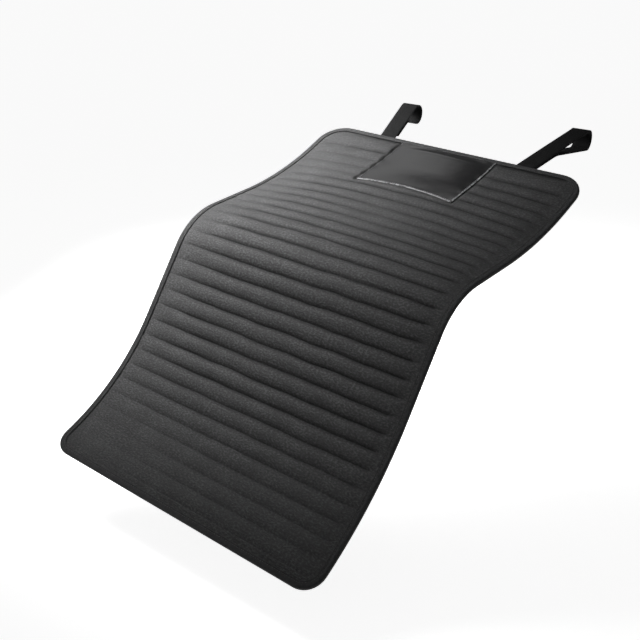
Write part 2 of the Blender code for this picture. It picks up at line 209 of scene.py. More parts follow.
def hang(piece):
    """Carries every point of a flat piece onto the hung mat."""
    keep_layout(piece)
    for vertex in piece.data.vertices:
        vertex.co = hung(vertex.co.x, -vertex.co.y, vertex.co.z)
    piece.data.shade_smooth()


class Finish:
    """A Principled material with helpers to lay patterns on it."""

    def __init__(self, name, roughness, sheen=0.0):
        self.material = bpy.data.materials.new(name)
        self.material.use_nodes = True
        self.nodes = self.material.node_tree.nodes
        self.links = self.material.node_tree.links
        self.shader = self.nodes["Principled BSDF"]
        self.shader.inputs["Roughness"].default_value = roughness
        self.shader.inputs["Sheen Weight"].default_value = sheen
        self.layout = self.nodes.new("ShaderNodeUVMap").outputs["UV"]
        self.layout.node.uv_map = "layout"

    def on_object(self):
        """Patterns follow the piece's own space from here on, not its flat layout."""
        self.layout = self.nodes.new("ShaderNodeTexCoord").outputs["Object"]

    def stretched(self, across, along):
        """The layout counted in pattern steps of these sizes."""
        mapping = self.nodes.new("ShaderNodeMapping")
        mapping.inputs["Scale"].default_value = (1 / across, 1 / along, 1 / across)
        self.links.new(self.layout, mapping.inputs["Vector"])
        return mapping.outputs["Vector"]

    def grain(self, size, detail=2.0, along=None):
        """Soft random grain of this size, which may have another size along the mat."""
        texture = self.nodes.new("ShaderNodeTexNoise")
        texture.inputs["Scale"].default_value = 1.0
        texture.inputs["Detail"].default_value = detail
        self.links.new(self.stretched(size, along or size), texture.inputs["Vector"])
        return texture.outputs["Fac"]

    def bands(self, way, pitch):
        """Round threads side by side along one way of the layout, one to each pattern step."""
        texture = self.nodes.new("ShaderNodeTexWave")
        texture.wave_type = "BANDS"
        texture.bands_direction = way
        texture.inputs["Scale"].default_value = math.pi / 10
        self.links.new(self.stretched(pitch, pitch), texture.inputs["Vector"])
        return texture.outputs["Fac"]

    def weave(self, thread):
        """Over-and-under weave of threads both ways."""
        checker = self.nodes.new("ShaderNodeTexChecker")
        checker.inputs["Scale"].default_value = 1.0
        checker.inputs["Color1"].default_value = (1, 1, 1, 1)
        checker.inputs["Color2"].default_value = (0, 0, 0, 1)
        self.links.new(self.stretched(thread, thread), checker.inputs["Vector"])
        return self.mixed(checker.outputs["Fac"], self.bands("X", thread), self.bands("Y", thread))

    def mixed(self, share, low, high):
        """Low where share is 0 and high where it is 1, for numbers."""
        mix = self.nodes.new("ShaderNodeMix")
        mix.data_type = "FLOAT"
        for socket, value in (("Factor", share), ("A", low), ("B", high)):
            if isinstance(value, float):
                mix.inputs[socket].default_value = value
            else:
                self.links.new(value, mix.inputs[socket])
        return mix.outputs["Result"]

    def colour(self, share, stops):
        """The colour that a ramp of (place, colour) stops has at this share."""
        ramp = self.nodes.new("ShaderNodeValToRGB")
        while len(ramp.color_ramp.elements) < len(stops):
            ramp.color_ramp.elements.new(0.5)
        for element, (place, shade) in zip(ramp.color_ramp.elements, stops):
            element.position = place
            element.color = (*shade, 1.0)
        self.links.new(share, ramp.inputs["Fac"])
        return ramp.outputs["Color"]

    def paint(self, shade):
        """Gives the piece this colour."""
        self.links.new(shade, self.shader.inputs["Base Color"])

    def darkened(self, shade, amount, deepest):
        """A colour multiplied down to deepest where amount is 1."""
        mix = self.nodes.new("ShaderNodeMix")
        mix.data_type = "RGBA"
        mix.blend_type = "MULTIPLY"
        self.links.new(amount, mix.inputs["Factor"])
        self.links.new(shade, mix.inputs["A"])
        mix.inputs["B"].default_value = (deepest, deepest, deepest, 1.0)
        return mix.outputs["Result"]

    def mark(self, name):
        """The value of a piece's own attribute."""
        attribute = self.nodes.new("ShaderNodeAttribute")
        attribute.attribute_name = name
        return attribute.outputs["Fac"]

    def raised(self, height, depth):
        """Adds a relief of this depth in metres, on top of what is raised already."""
        bump = self.nodes.new("ShaderNodeBump")
        bump.inputs["Distance"].default_value = depth
        bump.inputs["Strength"].default_value = 1.0
        self.links.new(height, bump.inputs["Height"])
        before = self.shader.inputs["Normal"].links
        if before:
            self.links.new(before[0].from_socket, bump.inputs["Normal"])
        self.links.new(bump.outputs["Normal"], self.shader.inputs["Normal"])


def wear(piece, finish):
    """Gives a piece its only material."""
    piece.data.materials.clear()
    piece.data.materials.append(finish.material)


def sewn_on(piece, slot, *nodes):
    """The piece moves with the mat and stands for these solids, which are hidden. The slot is not used."""
    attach(piece, "root")
    if nodes:
        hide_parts(*nodes)


rubber = Finish("rubberised_cloth", roughness=0.82)
worn_spots = rubber.grain(size=0.035, detail=4.0)
rubber.paint(rubber.colour(worn_spots, [(0.35, RUBBER_COLOUR), (0.75, RUBBER_WORN)]))
rubber.raised(rubber.weave(RUBBER_THREAD), depth=0.00025)
rubber.raised(rubber.grain(size=0.0012), depth=0.00012)

backing = cut_sheet("backing_cloth", EDGE_INSET)
bpy.ops.object.mode_set(mode="EDIT")
cut_through(
    steps_between(EDGE_INSET, PAD_LENGTH - EDGE_INSET, BACKING_ROW),
    steps_between(EDGE_INSET - PAD_WIDTH / 2, PAD_WIDTH / 2 - EDGE_INSET, BACKING_COLUMN),
)
pick_all()
bpy.ops.transform.translate(value=(0, 0, BACKING_TOP))
bpy.ops.object.mode_set(mode="OBJECT")
backing_body = backing.modifiers.new("cloth thickness", "SOLIDIFY")
backing_body.thickness = BACKING_THICKNESS
backing_body.offset = -1
apply_modifiers(backing)
hang(backing)
wear(backing, rubber)
sewn_on(backing, "backing_rubber", "backing_sheet")

# Ribbed mat: woven nylon over soft foam, pressed down in grooves that run across it. The padding between
# the grooves is drawn a little low and then blown up as cloth. Its ribs run out softly towards the left
# side, lie flatter at the tail, and beside the patch's left side the cloth sinks to the patch's seam.
RIB_HEIGHT = 0.0036
RIB_PITCH = 0.0273
RIB_ROUNDNESS = 2.2
FIRST_GROOVE = 0.0525
LAST_GROOVE_BORDER = 0.020
RIB_FULLNESS = [(0.0, 0.90), (0.345, 0.92), (0.62, 0.92), (0.76, 0.42), (PAD_LENGTH, 0.36)]
RIB_END_MARGIN = 0.0130
RIB_END_FADE = 0.018
RIB_SOFT_END = {-1: 0.110, 1: 0.018}
RIB_SOFT_SHARE = 0.55
TAPE_WIDTH = 0.011
BAND_BORDER = 0.003
BAND_START = TAPE_WIDTH + BAND_BORDER
LABEL_WIDTH = 0.196
LABEL_BOTTOM = 0.150
LABEL_BOW = 0.0085
LABEL_MARGIN = 0.0018
LABEL_FADE = 0.005
GROOVE_PINCH = 0.0013
GROOVE_DEPTH = 0.0009
GROOVE_SHADE = 0.0070
GROOVE_CREASE = 0.7
SEAM_SHADE = 0.0040
SEAM_DIP = 0.0020
GROOVE_WANDER = 0.0022
WANDER_LENGTH = 0.048
RIB_VARIATION = 0.40
VARIATION_LENGTH = 0.12
VARIATION_STEP = 1.7
RIB_STEPS = 6
ROW_MARGIN = 0.06
RIB_COLUMN = 0.0105
UNDERSIDE_COLUMN = 5 * RIB_COLUMN
SOFT_SPOTS = [(-0.150, 0.110, 0.075, 0.60), (-0.170, 0.780, 0.120, 0.80), (0.02, 0.235, 0.080, 0.30)]
SOFT_SPOT_STRETCH = 1.6
CLOTH_FRAMES = 20
MAT_PRESSURE = 4.0
MAT_MOST_SWELL = 0.0016
MAT_HELD_BELOW = 0.00025
SAME_PLACE = 0.00001
FAR_AWAY = 1.0

FACE_SHADOW = (0.006, 0.006, 0.0062)
FACE_MIDDLE = (0.017, 0.017, 0.0176)
FACE_LIGHT = (0.052, 0.052, 0.0534)
FACE_ROUGHNESS = 0.68
FACE_THREAD = 0.0013
SPECKLE_SHARE = 0.75
FACE_SEED = 7.0

groove_count = 1 + int((PAD_LENGTH - LAST_GROOVE_BORDER - FIRST_GROOVE) / RIB_PITCH)
grooves = [FIRST_GROOVE + RIB_PITCH * number for number in range(groove_count)]
band_edges = [BAND_START, *grooves, PAD_LENGTH - BAND_START]


def half_width(s):
    """Half the width of the finished outline at s."""
    for radius, from_end in ((TOP_CORNER_RADIUS, s), (BOTTOM_CORNER_RADIUS, PAD_LENGTH - s)):
        if from_end < radius:
            reach = radius**2 - (radius - from_end) ** 2
            return PAD_WIDTH / 2 - radius + math.sqrt(max(reach, 0.0))
    return PAD_WIDTH / 2


def label_edge(u):
    """Where the patch's lower edge lies at u: it is bowed towards the top in the middle."""
    return LABEL_BOTTOM - LABEL_BOW * (1 - min(abs(2 * u / LABEL_WIDTH), 1.0) ** 2)


def rib_share(u, s):
    """How full the padding is at u, s: nothing at the borders and under the patch, 1 in the open."""
    from_side = half_width(s) - abs(u) - RIB_END_MARGIN
    from_label = max(abs(u) - LABEL_WIDTH / 2, s - label_edge(u)) - LABEL_MARGIN
    soft_end = ease(from_side / RIB_SOFT_END[-1 if u < 0 else 1])
    full = (1 - RIB_SOFT_SHARE) * ease(from_side / RIB_END_FADE) + RIB_SOFT_SHARE * soft_end
    full *= ease(from_label / LABEL_FADE)
    for (first, before), (last, after) in zip(RIB_FULLNESS, RIB_FULLNESS[1:]):
        if first <= s < last:
            full *= before + (after - before) * (s - first) / (last - first)
    for soft_u, soft_s, size, loss in SOFT_SPOTS:
        away = math.hypot((u - soft_u) / SOFT_SPOT_STRETCH, s - soft_s) / size
        full *= 1 - loss * ease(1 - away)
    return full


def rib_rise(u, s):
    """How far the padding stands up at u, s before it is blown up, and how far off the next groove is."""
    for number, (first, last) in enumerate(zip(band_edges, band_edges[1:])):
        if first <= s <= last:
            share = (s - first) / (last - first)
            arch = 1 - abs(2 * share - 1) ** RIB_ROUNDNESS
            along = noise.noise(Vector((u / VARIATION_LENGTH, number * VARIATION_STEP, FACE_SEED)))
            crown = RIB_HEIGHT * min((last - first) / RIB_PITCH, 1.0) * (1 + RIB_VARIATION * along)
            return crown * arch * rib_share(u, s), min(s - first, last - s)
    return 0.0, FAR_AWAY


def blow_up(piece, is_sewn, pressure, most):
    """Cloth held at its seams and blown up between them, with no point further from its place than most."""
    start = [vertex.co.copy() for vertex in piece.data.vertices]
    seams = piece.vertex_groups.new(name="seams")
    seams.add([vertex.index for vertex in piece.data.vertices if is_sewn(vertex.co)], 1.0, "REPLACE")
    take_up(piece)
    bpy.ops.object.modifier_add(type="CLOTH")
    cloth = piece.modifiers[-1]
    cloth.settings.vertex_group_mass = seams.name
    cloth.settings.mass = 0.002
    cloth.settings.quality = 5
    cloth.settings.tension_stiffness = 20
    cloth.settings.compression_stiffness = 20
    cloth.settings.shear_stiffness = 8
    cloth.settings.bending_stiffness = 0.5
    cloth.settings.use_pressure = True
    cloth.settings.uniform_pressure_force = pressure
    cloth.settings.effector_weights.gravity = 0
    for number in range(1, CLOTH_FRAMES + 1):
        bpy.context.scene.frame_set(number)
    bpy.ops.object.modifier_apply(modifier=cloth.name)
    bpy.context.scene.frame_set(1)
    for vertex, old in zip(piece.data.vertices, start):
        move = vertex.co - old
        vertex.co = old + move * min(1.0, most / max(move.length, SAME_PLACE))
    piece.vertex_groups.clear()


mat = cut_sheet("ribbed_mat", EDGE_INSET)
rows = [*grooves, BAND_START, PAD_LENGTH - BAND_START]
for first, last in zip(band_edges, band_edges[1:]):
    rows += [first + GROOVE_PINCH, last - GROOVE_PINCH]
    for step in range(1, RIB_STEPS):
        share = ROW_MARGIN + (1 - 2 * ROW_MARGIN) * step / RIB_STEPS
        rows.append(first + (last - first) * share)
label_sides = [
    side * (LABEL_WIDTH / 2 + LABEL_MARGIN + away)
    for side in (-1, 1)
    for away in (-SEAM_SHADE / 2, 0.0, SEAM_SHADE / 2, SEAM_SHADE)
]
mat_edge = PAD_WIDTH / 2 - EDGE_INSET
bpy.ops.object.mode_set(mode="EDIT")
cut_through(sorted(rows), steps_between(-mat_edge, mat_edge, RIB_COLUMN) + label_sides)
bpy.ops.object.mode_set(mode="OBJECT")

crease = mat.data.attributes.new("crease_edge", "FLOAT", "EDGE")
for edge in mat.data.edges:
    ends = [mat.data.vertices[index].co for index in edge.vertices]
    in_groove = min(abs(ends[0].y + s) for s in grooves) < SAME_PLACE
    if in_groove and abs(ends[0].y - ends[1].y) < SAME_PLACE:
        crease.data[edge.index].value = GROOVE_CREASE * min(rib_share(end.x, -end.y) for end in ends)
# Painted shade: the "groove" attribute is near 1 in the grooves and beside the patch's sides, and the
# cloth's colour is darkened there to stand for the shade that falls in them.
depth = mat.data.attributes.new("groove", "FLOAT", "POINT")
for vertex in mat.data.vertices:
    u, s = vertex.co.x, -vertex.co.y
    rise, from_groove = rib_rise(u, s)
    pinch = rib_share(u, s) * max(1 - from_groove / GROOVE_PINCH, 0.0)
    from_seam = abs(abs(u) - LABEL_WIDTH / 2 - LABEL_MARGIN) if s < LABEL_BOTTOM else FAR_AWAY
    groove_painted_shade = rib_share(u, s) * max(1 - from_groove / GROOVE_SHADE, 0.0)
    # Beside the patch's sides the cloth dips, and its colour is also darkened there as painted shade.
    seam_dip_and_painted_shade = max(1 - from_seam / SEAM_SHADE, 0.0)
    depth.data[vertex.index].value = max(groove_painted_shade**2, seam_dip_and_painted_shade)
    wander = noise.noise(Vector((u / WANDER_LENGTH, s / WANDER_LENGTH, FACE_SEED)))
    dip = seam_dip_and_painted_shade if u < 0 else 0.0
    vertex.co.z = rise - GROOVE_DEPTH * pinch - SEAM_DIP * dip
    vertex.co.y -= GROOVE_WANDER * wander * min(rib_share(u, s), 1.0)
blow_up(mat, lambda at: at.z < MAT_HELD_BELOW, MAT_PRESSURE, MAT_MOST_SWELL)
rounding = mat.modifiers.new("rounding", "SUBSURF")
rounding.levels = 1
rounding.render_levels = 1
apply_modifiers(mat)


def pick_underside():
    """In edit mode, selects the faces of the mat's flat underside and nothing else."""
    shape = bmesh.from_edit_mesh(mat.data)
    for face in shape.faces:
        face.select_set(max(corner.co.z for corner in face.verts) < SAME_PLACE - FACE_THICKNESS)
    bmesh.update_edit_mesh(mat.data)


bpy.ops.object.mode_set(mode="EDIT")
bpy.ops.mesh.select_all(action="DESELECT")
bpy.ops.mesh.select_mode(type="EDGE")
bpy.ops.mesh.select_non_manifold(use_wire=False, use_multi_face=False, use_non_contiguous=False)
bpy.ops.mesh.extrude_edges_move(TRANSFORM_OT_translate={"value": (0, 0, -FACE_THICKNESS)})
bpy.ops.mesh.edge_face_add()
bpy.ops.mesh.select_mode(type="FACE")
cut_through(grooves, steps_between(-mat_edge, mat_edge, UNDERSIDE_COLUMN), pick_underside)
pick_all()
bpy.ops.mesh.normals_make_consistent(inside=False)
bpy.ops.object.mode_set(mode="OBJECT")
hang(mat)

nylon = Finish("face_nylon", roughness=FACE_ROUGHNESS)
nylon.shader.inputs["Specular IOR Level"].default_value = 0.55
speckle = nylon.grain(size=0.0042, detail=2.0, along=0.0026)
mottle = nylon.mixed(SPECKLE_SHARE, nylon.grain(size=0.045, detail=4.0), speckle)
shade = nylon.colour(mottle, [(0.34, FACE_SHADOW), (0.50, FACE_MIDDLE), (0.66, FACE_LIGHT)])
# Painted shade: the colour is multiplied down to 0.15 where the "groove" attribute marks the grooves and
# the patch's seams.
nylon.paint(nylon.darkened(shade, nylon.mark("groove"), deepest=0.15))
dulled = nylon.mixed(nylon.mark("groove"), FACE_ROUGHNESS, 1.0)
nylon.links.new(dulled, nylon.shader.inputs["Roughness"])
nylon.raised(nylon.grain(size=0.0090, detail=3.0), depth=0.00040)
nylon.raised(speckle, depth=0.00095)
nylon.raised(nylon.weave(FACE_THREAD), depth=0.00024)
wear(mat, nylon)
sewn_on(mat, "face_fabric", "ribbed_pad")

# Patch: a sheet of smooth satin vinyl over thin foam, left bare. Its top edge goes in under the edge
# tape, and its other three edges are cut raw and topstitched to the mat. The ribs beside it push its
# sides about, and the stitches pull its lower edge up in a shallow bow.
LABEL_TUCK = 0.0015
LABEL_TOP = TAPE_WIDTH - LABEL_TUCK
LABEL_THICKNESS = 0.0011
LABEL_SEAM = 0.0038
LABEL_HELD = 0.0046
LABEL_RIM = 0.0021
LABEL_SWELL = 0.0060
LABEL_FOOT_RISE = 0.055
LABEL_TOP_RISE = 0.020
LABEL_GRID = 0.0036
LABEL_PRESSURE = 2.0
LABEL_MOST_SWELL = 0.0006
SIDE_WIDTH = 0.012
SIDE_WANDER = 0.0007
SIDE_RIDE = 0.0008

VINYL_COLOUR = (0.0080, 0.0080, 0.0084)
CUT_EDGE_COLOUR = (0.32, 0.32, 0.325)
CUT_EDGE_DARK = (0.035, 0.035, 0.036)


def label_room(u, s):
    """Distance from a point of the patch to the nearest of its three sewn edges."""
    return min(LABEL_WIDTH / 2 - abs(u), label_edge(u) - s)


def label_rise(u, s):
    """The foam under the vinyl, which runs out at the seams."""
    across = 1 - min(abs(2 * u / (LABEL_WIDTH - 2 * LABEL_SEAM)), 1.0) ** 2
    from_foot = ease((label_edge(u) - s - LABEL_SEAM) / LABEL_FOOT_RISE)
    from_top = ease((s - LABEL_TOP) / LABEL_TOP_RISE)
    return LABEL_SWELL * across * from_foot * from_top


label = cut_strip("smooth_patch", LABEL_WIDTH, LABEL_TOP, LABEL_BOTTOM)
label_half = LABEL_WIDTH / 2
bpy.ops.object.mode_set(mode="EDIT")
cut_through(
    steps_between(LABEL_TOP, LABEL_BOTTOM, LABEL_GRID)
    + [LABEL_BOTTOM - LABEL_RIM, LABEL_BOTTOM - LABEL_SEAM],
    steps_between(-label_half, label_half, LABEL_GRID)
    + [side * (label_half - inset) for side in (-1, 1) for inset in (LABEL_RIM, LABEL_SEAM)],
)
bpy.ops.object.mode_set(mode="OBJECT")
for vertex in label.data.vertices:
    u, s = vertex.co.x, -vertex.co.y
    down = (s - LABEL_TOP) / (LABEL_BOTTOM - LABEL_TOP)
    s -= down**2 * (LABEL_BOTTOM - label_edge(u))
    side = ease((abs(u) - label_half + SIDE_WIDTH) / SIDE_WIDTH)
    beat = math.sin(math.tau * (s - FIRST_GROOVE) / RIB_PITCH)
    vertex.co.x = u + side * SIDE_WANDER * beat * math.copysign(1, u)
    vertex.co.y = -s
    seat = LAYER_GAP + LABEL_THICKNESS + side * SIDE_RIDE * (1 + beat) / 2
    vertex.co.z = seat + label_rise(u, s)
blow_up(label, lambda at: label_room(at.x, -at.y) < LABEL_HELD, LABEL_PRESSURE, LABEL_MOST_SWELL)
label_body = label.modifiers.new("vinyl thickness", "SOLIDIFY")
label_body.thickness = LABEL_THICKNESS
label_body.offset = -1
label_round = label.modifiers.new("rounding", "SUBSURF")
label_round.levels = 1
label_round.render_levels = 1
apply_modifiers(label)
# The pale colour of the raw cut edge is given to the foot and the right side only. The left side, which
# lies in shade, keeps the dark vinyl, so the difference between the sides is painted light and shade.
cut_edge_lit_sides = [
    label_room(face.center.x, -face.center.y) < LABEL_RIM and face.center.x > LABEL_RIM - label_half
    for face in label.data.polygons
]
hang(label)

vinyl = Finish("satin_vinyl", roughness=0.24)
vinyl.shader.inputs["Base Color"].default_value = (*VINYL_COLOUR, 1.0)
vinyl.raised(vinyl.grain(size=0.0016, detail=3.0), depth=0.00003)
vinyl.raised(vinyl.grain(size=0.016, detail=2.0), depth=0.00018)
cut_edge = Finish("cut_vinyl_edge", roughness=0.7)
frayed = cut_edge.grain(size=0.006, detail=2.0)
cut_edge.paint(cut_edge.colour(frayed, [(0.38, CUT_EDGE_DARK), (0.50, CUT_EDGE_COLOUR)]))
wear(label, vinyl)
label.data.materials.append(cut_edge.material)
for face, is_rim in zip(label.data.polygons, cut_edge_lit_sides):
    face.material_index = 1 if is_rim else 0
sewn_on(label, "patch_vinyl", "label_patch")

# Straps: two lengths of flat nylon webbing, sewn by their roots under the mat and splayed a little. Each
# runs up from the mat, turns back in an open loop and comes under its own run, where hook and loop hold it.
STRAP_SPACING = 0.284
STRAP_WIDTH = 0.032
STRAP_THICKNESS = 0.0015
STRAP_SPLAY = 10.85
STRAP_ROOT_LENGTH = 0.046
STRAP_EXIT = 0.006
CROSSBAR_DIAMETER = 0.032
CROSSBAR_CLEARANCE = 0.0005
CROSSBAR_YAW = 7.9
CLOSURE_START = 0.010
CLOSURE_LENGTH = 0.044
PATCH_THICKNESS = 0.0010
TAIL_BEND = 0.006
TAPE_CLEARANCE = 0.003
LOOP_STEPS = 40
TAIL_STEPS = 4
WEBBING_ROW = 0.0025
WEBBING_COLUMN = STRAP_WIDTH / 6
WEBBING_ROUNDING = STRAP_THICKNESS / 3
ROUTE_STEP = 0.0015
ROUTE_SOFTENING = 2
ROUTE_END = 0.001

WEBBING_COLOUR = (0.0035, 0.0035, 0.0037)
WEBBING_LIGHT = (0.0075, 0.0075, 0.0078)
WEBBING_PICK = 0.0016
WEBBING_END = 0.0011

backing_underside = BACKING_TOP - BACKING_THICKNESS
tape_underside = backing_underside - LAYER_GAP - TAPE_THICKNESS
root_height = backing_underside - LAYER_GAP - STRAP_THICKNESS / 2
exit_height = tape_underside - LAYER_GAP - STRAP_THICKNESS / 2
loop_radius = CROSSBAR_DIAMETER / 2 + CROSSBAR_CLEARANCE + STRAP_THICKNESS / 2
tail_drop = STRAP_THICKNESS + 2 * PATCH_THICKNESS + 3 * LAYER_GAP
bar_way = Vector((math.cos(math.radians(CROSSBAR_YAW)), math.sin(math.radians(CROSSBAR_YAW)), 0.0))
bar_away = Vector((-bar_way.y, bar_way.x, 0.0))


def root_row(side, s, h):
    """Middle of the strap under the mat at s, the way across it and the way up."""
    lean = side * math.tan(math.radians(STRAP_SPLAY))
    u = side * STRAP_SPACING / 2 - lean * s
    step = STRAP_WIDTH / 2 / math.hypot(1.0, lean)
    left, right = (hung(u + way * step, s + way * step * lean, h) for way in (-1, 1))
    slope = middle_line(s)[2]
    up = Vector((0.0, -math.sin(slope), math.cos(slope)))
    return (left + right) / 2, (right - left).normalized(), up


def from_bar(point):
    """Angle and distance of a point from the axis that the loops go round."""
    back = point.dot(bar_away)
    return math.atan2(point.z, back) % math.tau, math.hypot(back, point.z)


def run_of_strap(side):
    """The straight run from the mat to the loop: its two ends, the way across, and its last angle."""
    start, across, _ = root_row(side, -STRAP_EXIT, exit_height)
    angle, away = from_bar(start)
    leaves = angle - math.acos(loop_radius / away)
    splay = math.radians(STRAP_SPLAY)
    heading = Vector((side * math.sin(splay), math.cos(splay), 0.0))
    end = start + heading * ((loop_radius * math.cos(leaves) - start.dot(bar_away)) / heading.dot(bar_away))
    end.z = loop_radius * math.sin(leaves)
    return start, end, across, leaves


def run_row(side, along, below):
    """A row at a distance along the straight run, set a distance below its middle plane."""
    start, end, across, _ = run_of_strap(side)
    way = end - start
    across = across.lerp(bar_way, along / way.length).normalized()
    up = across.cross(way).normalized()
    return start + way.normalized() * along - up * below, across, up


def strap_route(side):
    """The webbing's middle line from its root to its tail, as (middle, across, up) at each place."""
    past_tape = TAPE_WIDTH + TAPE_CLEARANCE
    closed_to = CLOSURE_START + CLOSURE_LENGTH
    route = [
        root_row(side, STRAP_ROOT_LENGTH, root_height),
        root_row(side, past_tape + TAPE_CLEARANCE, root_height),
        root_row(side, past_tape, exit_height),
        root_row(side, 0.0, exit_height),
    ]
    route += [run_row(side, along, 0.0) for along in (0.0, CLOSURE_START, closed_to)]
    turn, turn_across, _ = run_row(side, closed_to + TAIL_BEND, tail_drop)
    angle, away = from_bar(turn)
    _, end, _, leaves = run_of_strap(side)
    returns = angle + math.acos(loop_radius / away) - math.tau
    centre = bar_way * end.dot(bar_way)
    for step in range(LOOP_STEPS + 1):
        around = leaves + (returns - leaves) * step / LOOP_STEPS
        outwards = bar_away * math.cos(around) + Vector((0.0, 0.0, math.sin(around)))
        route.append((centre + outwards * loop_radius, bar_way, outwards))
    back_way = (route[-1][0] - turn).normalized()
    closing = run_row(side, closed_to, tail_drop)[0]
    for step in range(TAIL_STEPS):
        share = step / TAIL_STEPS
        first = (turn + back_way * TAIL_BEND).lerp(turn, share)
        last = turn.lerp(closing, share)
        across = bar_way.lerp(turn_across, (1 + share) / 2).normalized()
        route.append((first.lerp(last, share), across, across.cross(last - first).normalized()))
    for along in (closed_to, CLOSURE_START):
        middle, across, up = run_row(side, along, tail_drop)
        route.append((middle, across, -up))
    return route


def softened(route):
    """The route in short even steps, with its sharp turns eased as webbing eases them."""
    lengths = [(b[0] - a[0]).length for a, b in zip(route, route[1:])]
    places = []
    number, before = 0, 0.0
    for step in range(int(sum(lengths) / ROUTE_STEP) + 1):
        along = step * ROUTE_STEP
        while number < len(lengths) - 1 and before + lengths[number] <= along:
            before += lengths[number]
            number += 1
        share = (along - before) / lengths[number]
        places.append([a.lerp(b, share) for a, b in zip(route[number], route[number + 1])])
    for _ in range(ROUTE_SOFTENING):
        eased = [
            [(a + 2 * b + c) / 4 for a, b, c in zip(before_it, at, after_it)]
            for before_it, at, after_it in zip(places, places[1:], places[2:])
        ]
        places = [places[0], *eased, places[-1]]
    return places


webbing = Finish("nylon_webbing", roughness=0.75)
webbing.shader.inputs["Specular IOR Level"].default_value = 0.15
flecks = webbing.grain(size=0.004, detail=3.0)
webbing.paint(webbing.colour(flecks, [(0.35, WEBBING_COLOUR), (0.70, WEBBING_LIGHT)]))
webbing.raised(webbing.bands("X", WEBBING_END), depth=0.00016)
webbing.raised(webbing.weave(WEBBING_PICK), depth=0.00022)


def make_strap(word, side):
    """Flat webbing with rounded edges, laid along its route, on the mat's left for side -1."""
    places = softened(strap_route(side))
    length = ROUTE_STEP * (len(places) - 1)
    strap = cut_strip(f"webbing_{word}", STRAP_WIDTH, 0.0, length)
    bpy.ops.object.mode_set(mode="EDIT")
    cut_through(
        steps_between(0.0, length, WEBBING_ROW),
        steps_between(-STRAP_WIDTH / 2, STRAP_WIDTH / 2, WEBBING_COLUMN),
    )
    bpy.ops.object.mode_set(mode="OBJECT")
    body = strap.modifiers.new("webbing thickness", "SOLIDIFY")
    body.thickness = STRAP_THICKNESS
    body.offset = 0
    edges = strap.modifiers.new("woven edges", "BEVEL")
    edges.width = WEBBING_ROUNDING
    edges.segments = 2
    apply_modifiers(strap)
    keep_layout(strap)
    for vertex in strap.data.vertices:
        along = min(max(-vertex.co.y / ROUTE_STEP, 0.0), len(places) - 1 - ROUTE_END)
        number = int(along)
        middle, across, up = (
            a.lerp(b, along - number) for a, b in zip(places[number], places[number + 1])
        )
        vertex.co = middle + across.normalized() * vertex.co.x + up.normalized() * vertex.co.z
    strap.data.shade_smooth()
    take_up(strap)
    bpy.ops.object.mode_set(mode="EDIT")
    pick_all()
    bpy.ops.mesh.normals_make_consistent(inside=False)
    bpy.ops.object.mode_set(mode="OBJECT")
    wear(strap, webbing)
    sewn_on(strap, "strap_webbing", f"strap_{word}")


make_strap("left", -1)
make_strap("right", 1)

# Hook and loop: a pad of loops under each run and a pad of hooks on each tail, pressed together. Their
# solids have the right shape, so they only get their nap.
NAP_COLOUR = (0.006, 0.006, 0.0063)
NAP_LIGHT = (0.014, 0.014, 0.0145)

nap = Finish("loop_nap", roughness=0.95, sheen=0.08)
nap.on_object()
nap.paint(nap.colour(nap.grain(size=0.0012, detail=3.0), [(0.35, NAP_COLOUR), (0.70, NAP_LIGHT)]))
nap.raised(nap.grain(size=0.0008, detail=3.0), depth=0.0004)
hooks = Finish("hook_stubs", roughness=0.7)
hooks.on_object()
hooks.paint(hooks.colour(hooks.grain(size=0.0020, detail=1.0), [(0.40, NAP_COLOUR), (0.65, NAP_LIGHT)]))
hooks.raised(hooks.grain(size=0.0013, detail=1.0), depth=0.0005)
for word in ("left", "right"):
    for node, finish in ((f"loop_patch_{word}", nap), (f"hook_patch_{word}", hooks)):
        wear(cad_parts[node], finish)

# Bar tacks: close zigzags of strong bonded thread, sewn through each strap's root and the backing sheet.
# There are two to a strap, one below the other, and they hold all that the strap carries.
TACK_PLACES = {"upper": 0.026, "lower": 0.041}
TACK_LENGTH = 0.026
TACK_WIDTH = 0.0024
TACK_TURNS = 15
THREAD_RADIUS = 0.00032

THREAD_COLOUR = (0.030, 0.030, 0.031)
THREAD_LIGHT = (0.060, 0.060, 0.062)

thread = Finish("bonded_thread", roughness=0.45)
thread.on_object()
twist = thread.grain(size=0.0015, detail=2.0)
thread.paint(thread.colour(twist, [(0.35, THREAD_COLOUR), (0.70, THREAD_LIGHT)]))


def make_thread(name, points):
    """A round thread through these points, as a mesh."""
    line = bpy.data.curves.new(name, "CURVE")
    line.dimensions = "3D"
    line.bevel_depth = THREAD_RADIUS
    line.bevel_resolution = 1
    line.use_fill_caps = True
    spline = line.splines.new("POLY")
    spline.points.add(len(points) - 1)
    for point, place in zip(spline.points, points):
        point.co = (*place, 1.0)
    piece = bpy.data.objects.new(name, line)
    bpy.context.scene.collection.objects.link(piece)
    take_up(piece)
    bpy.ops.object.convert(target="MESH")
    piece.data.shade_smooth()
    return piece


tack_height = root_height - STRAP_THICKNESS / 2 - LAYER_GAP - THREAD_RADIUS
for side, word in ((-1, "left"), (1, "right")):
    for which, place in TACK_PLACES.items():
        zigzag = []
        for turn in range(2 * TACK_TURNS + 1):
            s = place + TACK_WIDTH * (turn % 2 - 0.5)
            middle, across, _ = root_row(side, s, tack_height)
            zigzag.append(middle + across * TACK_LENGTH * (turn / (2 * TACK_TURNS) - 0.5))
        tack = make_thread(f"tack_thread_{word}_{which}", zigzag)
        wear(tack, thread)
        sewn_on(tack, "thread", f"bar_tack_{word}_{which}")

